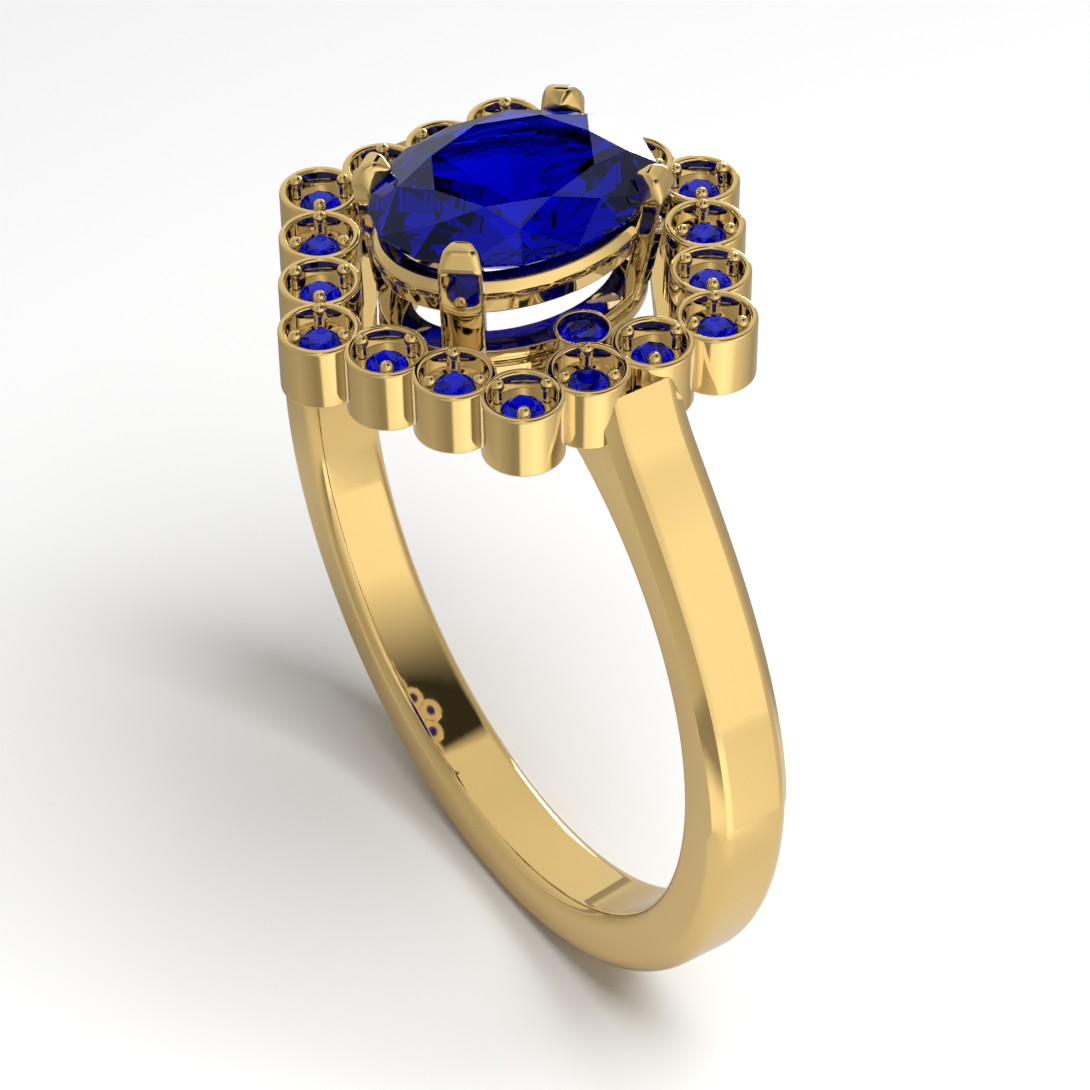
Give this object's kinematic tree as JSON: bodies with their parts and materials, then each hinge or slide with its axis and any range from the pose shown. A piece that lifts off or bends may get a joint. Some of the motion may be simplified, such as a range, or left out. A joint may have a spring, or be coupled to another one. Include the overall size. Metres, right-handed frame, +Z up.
{
  "type": "engagement ring",
  "caption": "Cathedral-shouldered finger ring with an oval claw-set stone over two gallery rings, inside a hexagonal halo of small bead-set round stones in tube cups.",
  "frame": {"origin": "centre of the finger hole, midway across the band", "axes": "+Y along the finger, +Z up through the centre stone, X across both shoulders"},
  "size_m": [0.0206, 0.0122, 0.0231],
  "materials": {
    "gold": null,
    "sapphire": "polished faceted blue sapphire"
  },
  "bodies": {
    "root": {"centre_stone": "sapphire", "claw_1": "gold", "claw_2": "gold", "claw_3": "gold", "claw_4": "gold", "halo_cup_01": "gold", "halo_cup_02": "gold", "halo_cup_03": "gold", "halo_cup_04": "gold", "halo_cup_05": "gold", "halo_cup_06": "gold", "halo_cup_07": "gold", "halo_cup_08": "gold", "halo_cup_09": "gold", "halo_cup_10": "gold", "halo_cup_11": "gold", "halo_cup_12": "gold", "halo_cup_13": "gold", "halo_cup_14": "gold", "halo_cup_15": "gold", "halo_cup_16": "gold", "halo_cup_17": "gold", "halo_cup_18": "gold", "halo_rail_1": "gold", "halo_rail_2": "gold", "halo_rail_3": "gold", "halo_rail_4": "gold", "halo_stone_01": "sapphire", "halo_stone_02": "sapphire", "halo_stone_03": "sapphire", "halo_stone_04": "sapphire", "halo_stone_05": "sapphire", "halo_stone_06": "sapphire", "halo_stone_07": "sapphire", "halo_stone_08": "sapphire", "halo_stone_09": "sapphire", "halo_stone_10": "sapphire", "halo_stone_11": "sapphire", "halo_stone_12": "sapphire", "halo_stone_13": "sapphire", "halo_stone_14": "sapphire", "halo_stone_15": "sapphire", "halo_stone_16": "sapphire", "halo_stone_17": "sapphire", "halo_stone_18": "sapphire", "lower_gallery_ring": "gold", "shank": "gold", "side_bezel_1": "gold", "side_bezel_2": "gold", "side_stone_1": "sapphire", "side_stone_2": "sapphire", "upper_gallery_ring": "gold"}
  },
  "joints": []
}
